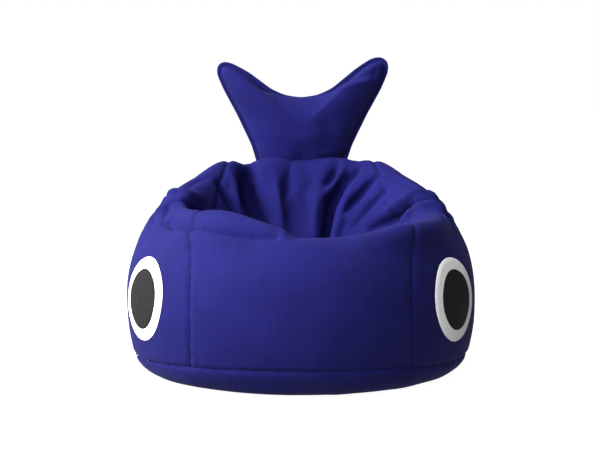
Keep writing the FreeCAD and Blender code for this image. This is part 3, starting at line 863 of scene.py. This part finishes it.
def felt(name, dark, light):
    """Pressed felt: matte, with short fibres that lie every way and a little cloudy dye."""
    material, tree = blank_material(name)
    place = node(tree, "ShaderNodeTexCoord").outputs["Object"]
    # fibres about 0.5 mm across, clouds about 20 mm
    fibre = node(tree, "ShaderNodeTexNoise", Vector=place, Scale=1900, Detail=3.0, Roughness=0.7)
    cloud = node(tree, "ShaderNodeTexNoise", Vector=place, Scale=50, Detail=2.0)
    mixed = weighted(tree, cloud.outputs["Fac"], 0.5)
    mixed = weighted(tree, fibre.outputs["Fac"], 0.5, mixed.outputs[0])
    colour = node(tree, "ShaderNodeValToRGB", Fac=mixed.outputs[0])
    colour.color_ramp.elements[0].position = 0.35
    colour.color_ramp.elements[0].color = linear(dark)
    colour.color_ramp.elements[1].position = 0.65
    colour.color_ramp.elements[1].color = linear(light)
    bump = node(tree, "ShaderNodeBump", Strength=0.4, Distance=0.0004, Height=fibre.outputs["Fac"])
    cloth = node(
        tree,
        "ShaderNodeBsdfPrincipled",
        Base_Color=colour.outputs[0],
        Roughness=0.95,
        Specular_IOR_Level=0.15,
        Normal=bump.outputs[0],
    )
    node(tree, "ShaderNodeOutputMaterial", Surface=cloth.outputs[0])
    return material


FELTS = {
    "white": felt("white pressed polyester felt", "#EFEFF0", "#FAFAFA"),
    "charcoal": felt("charcoal pressed polyester felt", "#111111", "#171717"),
}


def felt_round(part, hand, side, radius, lift):
    """One round of felt that lies on the eye panel, lift above its cloth."""
    panel = covers[hand + "_eye_panel"]
    tree = BVHTree.FromObject(panel, bpy.context.evaluated_depsgraph_get())
    way_out = Vector((side * math.sin(EYE_ANGLES[hand]), -math.cos(EYE_ANGLES[hand]), 0))
    across = UP.cross(way_out)
    # the rays that find the cloth start well outside it
    middle = way_out * HALF_WIDTH * 1.5 + UP * EYE_HEIGHT
    turns = np.linspace(0, 2 * math.pi, FELT_SPOKES, endpoint=False).tolist()

    def start_of(share, turn):
        return middle + radius * share * (math.cos(turn) * across + math.sin(turn) * UP)

    depth = np.array(
        [[tree.ray_cast(start_of(share, turn), -way_out)[3] for turn in turns] for share in FELT_RINGS]
    )
    smooth = depth.copy()
    for _ in range(FELT_STIFFNESS):
        inner = np.vstack((smooth[:1].mean() * np.ones((1, FELT_SPOKES)), smooth[:-1]))
        outer = np.vstack((smooth[1:], smooth[-1:]))
        smooth = (inner + outer + np.roll(smooth, 1, axis=1) + np.roll(smooth, -1, axis=1)) / 4
    depth = np.minimum(smooth * BRIDGING + depth * (1 - BRIDGING), depth)
    bm = bmesh.new()
    rings = []
    for j, share in enumerate(FELT_RINGS):
        ring = []
        for k, turn in enumerate(turns):
            ring.append(bm.verts.new(start_of(share, turn) - way_out * depth[j, k]))
        rings.append(ring)
    pole = bm.verts.new(sum((vert.co for vert in rings[0]), Vector()) / FELT_SPOKES)
    for k in range(FELT_SPOKES):
        after = (k + 1) % FELT_SPOKES
        bm.faces.new((pole, rings[0][k], rings[0][after]))
        for low, high in zip(rings, rings[1:]):
            bm.faces.new((low[k], high[k], high[after], low[after]))
    bmesh.ops.recalc_face_normals(bm, faces=bm.faces)
    if sum((face.normal for face in bm.faces), Vector()).dot(way_out) < 0:
        bmesh.ops.reverse_faces(bm, faces=bm.faces)
    bm.normal_update()
    # the felt's edge is pressed down by its row of stitches
    pressed = np.interp(FELT_RINGS, (0, 0.945, 0.962, 0.98, 1.0), (1, 1, 0.62, 0.95, 0.55))
    moves = [(pole, lift)]
    moves += [(vert, lift * share) for ring, share in zip(rings, pressed) for vert in ring]
    normal_of = {vert: vert.normal.copy() for vert, _ in moves}
    for vert, rise in moves:
        vert.co += normal_of[vert] * rise
    thing = from_bmesh("felt_" + part, bm)
    thicken(thing, FELT_THICKNESS, "felt")
    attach(thing, "bag")
    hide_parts(part)
    return thing


for hand, side in (("left", -1), ("right", 1)):
    white = felt_round(hand + "_eye_white", hand, side, WHITE_RADIUS, WHITE_LIFT)
    dress(white, FELTS["white"])
    pupil = felt_round(hand + "_eye_pupil", hand, side, PUPIL_RADIUS, PUPIL_LIFT)
    dress(pupil, FELTS["charcoal"])


# ---------------------------------------------------------------- tail
# Two panels of the cover's cloth sewn face to face and stuffed with fibre. Their allowance is
# left outside as a flat flange with a row of stitches. The root is sewn into the crest.
TAIL_LEAN = math.radians(4)
TAIL_ROOT = Vector((0, SEAT_SHARES[2] * HALF_DEPTH, 0.498))
TAIL_HEART = np.array((0.0, 0.073))
TAIL_FULL = 0.060
TAIL_ROOT_PINCH = 0.40
# the root's cloth bends between these two points
TAIL_BEND = (0, TAIL_ROOT.y, 0.470), (0, TAIL_ROOT.y, 0.570)
FLANGE = 0.0105
# the flange's outer edge as it is cut, seen from the front, from the root round by the right tip
TAIL_EDGE = [
    (0.000, -0.095),
    (0.075, -0.085),
    (0.110, -0.050),
    (0.121, -0.010),
    (0.134, 0.030),
    (0.173, 0.110),
    (0.210, 0.177),
    (0.229, 0.222),
    (0.229, 0.248),
    (0.210, 0.262),
    (0.184, 0.257),
    (0.143, 0.230),
    (0.080, 0.178),
    (0.042, 0.161),
    (0.000, 0.155),
    (-0.042, 0.161),
    (-0.078, 0.177),
    (-0.137, 0.221),
    (-0.180, 0.244),
    (-0.204, 0.250),
    (-0.220, 0.239),
    (-0.221, 0.216),
    (-0.203, 0.175),
    (-0.168, 0.110),
    (-0.130, 0.030),
    (-0.118, -0.010),
    (-0.108, -0.050),
    (-0.075, -0.085),
]
# creases: points across and up, then depth and width; a negative depth is a ridge
TAIL_CREASES = [
    ([(-0.128, 0.200), (-0.105, 0.184), (-0.085, 0.168)], 0.0075, 0.010),
    ([(-0.150, 0.205), (-0.120, 0.160)], 0.0030, 0.022),
    ([(0.100, 0.188), (0.150, 0.207), (0.195, 0.222)], 0.0055, 0.012),
    ([(0.088, 0.172), (0.145, 0.190), (0.205, 0.200)], -0.0035, 0.009),
    ([(0.198, 0.226), (0.186, 0.200)], 0.0035, 0.009),
    ([(0.000, 0.010), (0.006, -0.020), (0.008, -0.060)], 0.0060, 0.024),
    ([(0.030, -0.024), (0.070, -0.006), (0.118, 0.004)], 0.0045, 0.012),
    ([(0.064, 0.012), (0.094, 0.002)], -0.0030, 0.008),
    ([(-0.118, -0.002), (-0.085, -0.016), (-0.055, -0.040)], 0.0040, 0.012),
    ([(0.060, 0.120), (0.075, 0.070), (0.070, 0.020)], 0.0030, 0.028),
]


def closed_line(corners, count, reach):
    """Even points along a closed outline whose corners are rounded within reach."""
    ring = np.array([*corners, corners[0]])
    run = np.concatenate(([0], np.cumsum(np.linalg.norm(np.diff(ring, axis=0), axis=1))))
    at = np.linspace(0, run[-1], count, endpoint=False)
    line = np.stack([np.interp(at, run, ring[:, k]) for k in (0, 1)], axis=1)
    for _ in range(int((reach * count / run[-1]) ** 2 * 2)):
        line = (line + (np.roll(line, 1, axis=0) + np.roll(line, -1, axis=0)) / 2) / 2
    return line


def outward_of(line):
    """Unit normals of a closed outline that runs anticlockwise."""
    along = np.roll(line, -1, axis=0) - np.roll(line, 1, axis=0)
    normal = np.stack((along[:, 1], -along[:, 0]), axis=1)
    return normal / np.linalg.norm(normal, axis=1, keepdims=True)


edge_line = closed_line(TAIL_EDGE, 480, 0.009)
edge_out = outward_of(edge_line)
# in the notch, the flange is bent back and only a little of it stands up
notch_share = np.clip(1 - np.abs(edge_line[:, 0]) / 0.10, 0, 1) * (edge_line[:, 1] > 0.1)
flange_width = FLANGE * (1 - 0.9 * notch_share)
seam_line = edge_line - edge_out * flange_width[:, None]


def tail_point(across, up, depth):
    """A point of the tail, from its own upright plane to where the tail leans on the bag."""
    cos, sin = math.cos(TAIL_LEAN), math.sin(TAIL_LEAN)
    return np.stack(
        (
            np.asarray(across) + TAIL_ROOT.x,
            np.asarray(depth) * cos + np.asarray(up) * sin + TAIL_ROOT.y,
            np.asarray(up) * cos - np.asarray(depth) * sin + TAIL_ROOT.z,
        ),
        axis=-1,
    )


tail = from_bmesh("tail_cover", round_grid(48))
ball = coordinates(tail.data)
turn = np.arctan2(ball[:, 2], ball[:, 0])
spread = np.arccos(np.clip(np.abs(ball[:, 1]), 0, 1)) / (math.pi / 2)
from_heart = seam_line - TAIL_HEART
seam_turn = np.arctan2(from_heart[:, 1], from_heart[:, 0])
order = np.argsort(seam_turn)
seam_far = np.linalg.norm(from_heart, axis=1)
seam_reach = np.interp(turn, seam_turn[order], seam_far[order], period=2 * math.pi)
tail_across = TAIL_HEART[0] + seam_reach * spread * np.cos(turn)
tail_up = TAIL_HEART[1] + seam_reach * spread * np.sin(turn)
tail_side = np.sign(ball[:, 1])
tail_depth = tail_side * TAIL_FULL * np.sqrt(np.clip(1 - spread**2, 0, 1))
# the stuffing thins out towards the root, where the two panels are sewn into the crest
tail_depth *= 1 - TAIL_ROOT_PINCH * np.clip((0.05 - tail_up) / 0.10, 0, 1)
place_vertices(tail.data, tail_point(tail_across, tail_up, tail_depth))
bm = bmesh.new()
bm.from_mesh(tail.data)
bmesh.ops.recalc_face_normals(bm, faces=bm.faces)
bm.to_mesh(tail.data)
bm.free()
hold = 0.05 + 0.95 * np.clip((spread - 0.93) / 0.07, 0, 1) ** 2
hold = np.maximum(hold, np.clip(-tail_up / 0.03, 0, 1))
slack = np.clip(0.25 + 0.75 * np.clip((spread - 0.55) / 0.3, 0, 1), 0, 1)
settle(tail, hold, slack, growth=0.07, cap=0.010, pressure=2.5, bending=0.3)
rim = np.array([all(abs(ball[k, 1]) < 1e-6 for k in edge.vertices) for edge in tail.data.edges])
tail.data.attributes.new("crease_edge", "FLOAT", "EDGE").data.foreach_set("value", rim.astype(float))
add_layer(tail.data, "plain", "FLOAT_VECTOR", np.stack((tail_across, tail_side, tail_up), axis=1))
refined(tail)
tail_flat = np.empty(len(tail.data.vertices) * 3)
tail.data.attributes["plain"].data.foreach_get("vector", tail_flat)
tail_flat = tail_flat.reshape(-1, 3)
points, tail_ways_out = coordinates(tail.data), normals(tail.data)
sink = 0.0012 * bumps(tail_flat, 0.05, 11)
for corners, depth, width in TAIL_CREASES:
    line = np.array(corners)
    run = np.linspace(0, len(line) - 1, 12 * len(line))
    line = np.stack([np.interp(run, range(len(line)), line[:, k]) for k in (0, 1)], axis=1)
    fade = np.sin(np.pi * (0.15 + 0.7 * run / run[-1]))
    away = ((tail_flat[:, None, (0, 2)] - line[None]) ** 2).sum(axis=2)
    nearest = away.argmin(axis=1)
    reach = away.min(axis=1) / width**2
    front = np.clip(-tail_flat[:, 1], 0, 1)
    sink += depth * fade[nearest] * (1 - 0.35 * reach) * np.exp(-reach) * front
place_vertices(tail.data, points - tail_ways_out * sink[:, None])


def tail_panel(name, side):
    """One side of the tail's cover, cut from it along the seam."""
    bm = bmesh.new()
    bm.from_mesh(tail.data)
    plain_layer = bm.verts.layers.float_vector["plain"]
    others = [f for f in bm.faces if sum(v[plain_layer].y for v in f.verts) * side < 0]
    bmesh.ops.delete(bm, geom=others, context="FACES")
    lay_weave(bm, lambda vert: vert[plain_layer].xz)
    thing = from_bmesh("cover_" + name, bm)
    dress(thing, COVER_CLOTH)
    thicken(thing, CLOTH_THICKNESS)
    return thing


# half of the flange's cross-section, from inside the seam to its outer edge: share of the width
# and half the thickness in metres, thin where the stitches pull the two layers together
FLANGE_SECTION = [
    (-0.90, 0.0006),
    (-0.10, 0.0011),
    (0.08, 0.0014),
    (0.26, 0.0007),
    (0.44, 0.0015),
    (0.84, 0.0015),
    (0.97, 0.0009),
]
FLANGE_WAVE, FLANGE_WAVE_LENGTH = 0.0016, 0.035
NOTCH_BEND = 0.006


def tail_flange():
    """The flat allowance round the tail, as a closed strip that waves a little."""
    ring = [*FLANGE_SECTION, (1.0, 0.0), *[(share, -half) for share, half in reversed(FLANGE_SECTION)]]
    start = int(np.argmin(edge_line[:, 1]))
    order = [(start + k) % len(edge_line) for k in range(len(edge_line))]
    order = [k for k in order if edge_line[k, 1] > -0.03]
    bm = bmesh.new()
    sections = []
    for place in order:
        base, out = seam_line[place], edge_out[place]
        wave = FLANGE_WAVE * noise.noise(Vector((*edge_line[place], 0.4)) / FLANGE_WAVE_LENGTH)
        bend = NOTCH_BEND * notch_share[place]
        section = []
        for share, half in ring:
            spot = base + out * share * flange_width[place]
            aside = half + (wave + bend) * max(share, 0)
            section.append(bm.verts.new(tail_point(spot[0], spot[1], aside).tolist()))
        sections.append(section)
    for low, high in zip(sections, sections[1:]):
        for k in range(len(ring)):
            after = (k + 1) % len(ring)
            bm.faces.new((low[k], low[after], high[after], high[k]))
    bm.faces.new(sections[0])
    bm.faces.new(sections[-1])
    bmesh.ops.recalc_face_normals(bm, faces=bm.faces)
    lay_weave(bm, lambda vert: vert.co.xz)
    return from_bmesh("cover_tail_flange", bm)


tail_pieces = {
    "tail_front_panel": tail_panel("tail_front_panel", -1),
    "tail_rear_panel": tail_panel("tail_rear_panel", 1),
    "tail_flange": tail_flange(),
}
dress(tail_pieces["tail_flange"], COVER_CLOTH)
for node_name, thing in tail_pieces.items():
    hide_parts(node_name)
    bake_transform(thing, "bag", "tail", *TAIL_BEND)


# ---------------------------------------------------------------- band at the tail's root
# A strip of the cover's cloth, sewn over the crest where the tail hangs in it. It lies under the
# tail's stuffing and takes the pull when the tail bends.
BAND_HALF_LENGTH, BAND_HALF_WIDTH = 0.119, 0.005
BAND_THICKNESS, BAND_LIFT = 0.0020, 0.0024
bm = bmesh.new()
bmesh.ops.create_grid(bm, x_segments=60, y_segments=4, size=1)
cover_tree = BVHTree.FromObject(bag, bpy.context.evaluated_depsgraph_get())
for vert in bm.verts:
    x = vert.co.x * BAND_HALF_LENGTH
    y = math.sqrt(1 - (x / HALF_WIDTH) ** 2) * TAIL_ROOT.y + vert.co.y * BAND_HALF_WIDTH
    vert.co = cover_tree.ray_cast(Vector((x, y, 1)), -UP)[0] + UP * BAND_LIFT
lay_weave(bm, lambda vert: vert.co.xy)
band = from_bmesh("tail_band", bm)
dress(band, COVER_CLOTH)
thicken(band, BAND_THICKNESS)
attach(band, "bag")
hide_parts("tail_root_band")


# ---------------------------------------------------------------- liner and fillings
# Under the cover, a loose liner of non-woven polypropylene, dyed navy so that it does not show at
# the seams, holds expanded polystyrene beads. Both take the cover's shape from inside, and lie
# folded back over the zip. The tail holds white fibre.
LINER_DEPTH, LINER_THICKNESS = 0.0045, 0.0010
BEAD_DEPTH, FIBRE_DEPTH = 0.0070, 0.0045
# the least share of its depth that a lining keeps inside a tight fold
TIGHT = 0.4
ZIP_ROOM, ZIP_ROOM_REACH, ZIP_ROOM_EDGE = 0.0070, 0.020, 0.012


def speckled(name, colour, roughness, grain, relief):
    """A material whose surface is made of close round grains of one size, with shade painted darker towards
    each grain's edge, where the grains meet.
    """
    material, tree = blank_material(name)
    place = node(tree, "ShaderNodeTexCoord").outputs["Object"]
    cells = node(tree, "ShaderNodeTexVoronoi", Vector=place, Scale=1 / grain)
    # painted shade: the colour darkens to 0.72 of itself towards the edge of each grain, as if shadowed in
    # the gaps between grains
    shade = node(tree, "ShaderNodeValToRGB", Fac=cells.outputs["Distance"])
    shade.color_ramp.elements[0].color = linear(colour)
    shade.color_ramp.elements[1].color = [0.72 * c for c in linear(colour)[:3]] + [1]
    height = cells.outputs["Distance"]
    bump = node(tree, "ShaderNodeBump", {"invert": True}, Strength=0.6, Distance=relief, Height=height)
    surface = node(
        tree,
        "ShaderNodeBsdfPrincipled",
        Base_Color=shade.outputs[0],
        Roughness=roughness,
        Normal=bump.outputs[0],
    )
    node(tree, "ShaderNodeOutputMaterial", Surface=surface.outputs[0])
    return material


# the liner's cloth is bonded in dots 1.6 mm apart; the beads are 4 mm across
LINER_CLOTH = speckled("navy point-bonded polypropylene cloth", "#0C0C42", 0.75, 0.0016, 0.0003)
BEADS = speckled("expanded polystyrene beads", "#F2F2F0", 0.6, 0.0040, 0.0020)
FIBRE = speckled("polyester fibre filling", "#EFEFEA", 0.95, 0.0025, 0.0015)


def lining(name, source, ways_out, depth, material):
    """A copy of a settled cloth, moved in by depth, that shows what lies inside it."""
    thing = bpy.data.objects.new(name, source.data.copy())
    bpy.context.scene.collection.objects.link(thing)
    points = coordinates(source.data) - ways_out * depth
    # where a fold is tighter than the depth, the copy would come out on its far side
    cloth = BVHTree.FromObject(source, bpy.context.evaluated_depsgraph_get())
    for k, point in enumerate(points):
        near, outward = cloth.find_nearest(Vector(point))[:2]
        if (Vector(point) - near).dot(outward) > -TIGHT * depth:
            points[k] = near - outward * TIGHT * depth
    place_vertices(thing.data, points)
    dress(thing, material)
    return thing


def clear_of_zip(thing):
    """Lifts the underside of a lining over the zip."""
    points = coordinates(thing.data)
    across = np.clip((ZIP_ROOM_REACH + ZIP_ROOM_EDGE - np.abs(points[:, 1])) / ZIP_ROOM_EDGE, 0, 1)
    along = np.clip((ZIP_HALF + 2 * ZIP_ROOM_EDGE - np.abs(points[:, 0])) / ZIP_ROOM_EDGE, 0, 1)
    low = points[:, 2] < 0.03
    points[:, 2] += ZIP_ROOM * across * along * low
    place_vertices(thing.data, points)


liner = lining("liner", bag, bag_ways_out, LINER_DEPTH, LINER_CLOTH)
clear_of_zip(liner)
thicken(liner, LINER_THICKNESS)
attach(liner, "bag")
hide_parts("liner_top", "liner_base")

beads = lining("bead_filling", bag, bag_ways_out, BEAD_DEPTH, BEADS)
clear_of_zip(beads)
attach(beads, "bag")
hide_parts("bean_fill")

fibre = lining("tail_fibre", tail, tail_ways_out, FIBRE_DEPTH, FIBRE)
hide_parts("tail_filling")
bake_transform(fibre, "bag", "tail", *TAIL_BEND)
bpy.data.objects.remove(tail)


# ---------------------------------------------------------------- zip across the underside
# A nylon coil zip through which the liner is put in. Its tapes are sewn inside the base panels
# and its coils face down in the slot between them. The slider has no puller, so it stays shut.
COIL_LOW, COIL_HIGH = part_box("zip_coil_rear")
TURN_PITCH = 0.0019
TURN_STEPS = 10
TAPE_THICKNESS, TAPE_WAVES = 0.0007, 0.00015
GUARD_THICKNESS, GUARD_WAVES = 0.0008, 0.0006
WIRE_RADIUS, WIRE_SIDES = 0.00030, 5


def strip(name, low, high, thickness, waves):
    """A flat strip of cloth as long as a box, whose upper face is the box's and waves a little."""
    bm = bmesh.new()
    bmesh.ops.create_grid(bm, x_segments=160, y_segments=8, size=1)
    middle, half = (low + high) / 2, (high - low) / 2
    for vert in bm.verts:
        x, y = vert.co.x * half.x, vert.co.y * half.y
        lift = waves * noise.noise(Vector((x, y, 0.7)) / 0.018)
        vert.co = (middle.x + x, middle.y + y, high.z + lift)
    lay_weave(bm, lambda vert: vert.co.yx)
    thing = from_bmesh(name, bm)
    thicken(thing, thickness)
    return thing


def coil(name, side):
    """A flattened helix of nylon wire along the edge of a tape."""
    middle, half = (COIL_LOW + COIL_HIGH) / 2, (COIL_HIGH - COIL_LOW) / 2
    turns = int(2 * half.x / TURN_PITCH)
    bm = bmesh.new()
    rings = []
    for step in range(turns * TURN_STEPS + 1):
        angle = 2 * math.pi * step / TURN_STEPS
        way = Vector((0, math.cos(angle), math.sin(angle)))
        centre = Vector((-half.x + TURN_PITCH * step / TURN_STEPS, side * middle.y, middle.z))
        centre += Vector((0, way.y * (half.y - WIRE_RADIUS), way.z * (half.z - WIRE_RADIUS)))
        ring = []
        for k in range(WIRE_SIDES):
            around = 2 * math.pi * k / WIRE_SIDES
            off = math.cos(around) * way + math.sin(around) * Vector((1, 0, 0))
            ring.append(bm.verts.new(centre + WIRE_RADIUS * off))
        rings.append(ring)
    for low, high in zip(rings, rings[1:]):
        for k in range(WIRE_SIDES):
            after = (k + 1) % WIRE_SIDES
            bm.faces.new((low[k], low[after], high[after], high[k]))
    bm.faces.new(rings[0])
    bm.faces.new(rings[-1])
    bmesh.ops.recalc_face_normals(bm, faces=bm.faces)
    return from_bmesh(name, bm)


def plain_surface(name, colour, roughness, metallic, grain):
    """A smooth surface whose roughness is a little uneven, in patches of one size."""
    material, tree = blank_material(name)
    place = node(tree, "ShaderNodeTexCoord").outputs["Object"]
    wear = node(tree, "ShaderNodeTexNoise", Vector=place, Scale=1 / grain, Detail=4.0)
    uneven = node(
        tree,
        "ShaderNodeMapRange",
        Value=wear.outputs["Fac"],
        To_Min=roughness * 0.8,
        To_Max=roughness * 1.3,
    )
    surface = node(
        tree,
        "ShaderNodeBsdfPrincipled",
        Base_Color=linear(colour),
        Metallic=metallic,
        Roughness=uneven.outputs[0],
    )
    node(tree, "ShaderNodeOutputMaterial", Surface=surface.outputs[0])
    return material


NYLON = plain_surface("drawn nylon wire dyed blue", "#1B1C66", 0.38, 0.0, 0.0008)
NICKEL = plain_surface("die-cast zinc alloy plated with nickel", "#C9C7C2", 0.30, 1.0, 0.0012)

for half, side in (("front", -1), ("rear", 1)):
    tape = strip("zip_tape_" + half + "_cloth", *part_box("zip_tape_" + half), TAPE_THICKNESS, TAPE_WAVES)
    dress(tape, COVER_CLOTH)
    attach(tape, "bag")
    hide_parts("zip_tape_" + half)
    turns = coil("zip_turns_" + half, side)
    dress(turns, NYLON)
    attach(turns, "bag")
    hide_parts("zip_coil_" + half)

guard = strip("zip_guard_cloth", *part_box("zip_guard"), GUARD_THICKNESS, GUARD_WAVES)
dress(guard, LINER_CLOTH)
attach(guard, "bag")
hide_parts("zip_guard")

for name in ("zip_slider", "zip_end_stops"):
    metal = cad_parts[name]
    metal.data.materials.clear()
    metal.data.materials.append(NICKEL)


# ---------------------------------------------------------------- what is left to close
bpy.data.objects.remove(bag)
